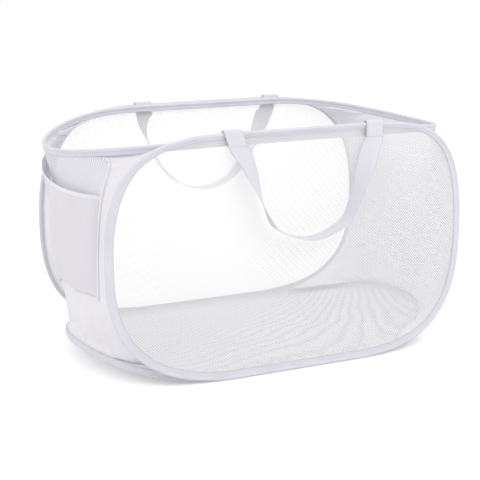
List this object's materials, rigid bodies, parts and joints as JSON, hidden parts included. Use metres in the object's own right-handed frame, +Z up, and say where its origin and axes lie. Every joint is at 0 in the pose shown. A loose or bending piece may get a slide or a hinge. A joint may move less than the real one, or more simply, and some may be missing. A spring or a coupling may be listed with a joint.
{
  "type": "pop up laundry hamper",
  "caption": "Collapsible laundry hamper: a long open box of netting and cloth on sprung wire hoops, with a mesh side pocket and a webbing carrying handle on each long side",
  "frame": {"origin": "on the floor under the middle of the hamper as it stands popped up", "axes": "+X along the length, with the pocket at the -X end; -Y is the front panel; +Z is up"},
  "size_m": [0.6368, 0.4262, 0.3542],
  "materials": {
    "wire": "drawn spring steel",
    "crimp": "plated sleeve",
    "binding": "folded woven tape, sewn",
    "netting": "fine knitted net",
    "cloth": "thin plain weave",
    "webbing": "ribbed webbing"
  },
  "bodies": {
    "base": {"base_wire": "wire", "base_wire_crimp": "crimp", "base_binding": "binding", "base_mesh": "netting", "left_end_cloth": "cloth", "right_end_cloth": "cloth", "window_mesh": "netting", "window_piping": "binding", "pocket_mesh": "netting", "pocket_hem": "binding"},
    "front_panel": {"front_wire": "wire", "front_wire_crimp": "crimp", "front_binding": "binding", "front_mesh": "netting", "front_handle_left_tab": "webbing", "front_handle_right_tab": "webbing"},
    "back_panel": {"back_wire": "wire", "back_wire_crimp": "crimp", "back_binding": "binding", "back_mesh": "netting", "back_handle_left_tab": "webbing", "back_handle_right_tab": "webbing"},
    "rim": {"rim_wire": "wire", "rim_wire_crimp": "crimp", "rim_binding": "binding"},
    "front_handle": {"front_handle_strap": "webbing"},
    "back_handle": {"back_handle_strap": "webbing"}
  },
  "joints": [
    {"name": "panel_fold", "type": "hinge", "parent": "base", "child": "front_panel", "pos_m": [0, -0.17491, 0.02], "axis": [-1, 0, 0], "range_deg": [0, 56], "stiffness_Nm_per_rad": 2.5, "deforming": ["left_end_cloth", "right_end_cloth", "window_mesh", "window_piping", "pocket_mesh", "pocket_hem"]},
    {"name": "rim_fold", "type": "hinge", "parent": "front_panel", "child": "rim", "pos_m": [0, -0.17632, 0.347], "axis": [-1, 0, 0], "range_deg": [-56, 0]},
    {"name": "back_fold", "type": "hinge", "parent": "base", "child": "back_panel", "pos_m": [0, 0.181, 0], "axis": [-1, 0, 0], "range_deg": [0, 56]},
    {"name": "front_handle_swing", "type": "hinge", "parent": "front_panel", "child": "front_handle", "pos_m": [0, -0.18355, 0.3342], "axis": [-1, 0, 0], "range_deg": [0, 150]},
    {"name": "back_handle_swing", "type": "hinge", "parent": "back_panel", "child": "back_handle", "pos_m": [0, 0.18355, 0.3342], "axis": [1, 0, 0], "range_deg": [0, 105]}
  ],
  "couplings": [
    {"joint": "rim_fold", "follows": "panel_fold", "ratio": -1},
    {"joint": "back_fold", "follows": "panel_fold", "ratio": 1}
  ]
}
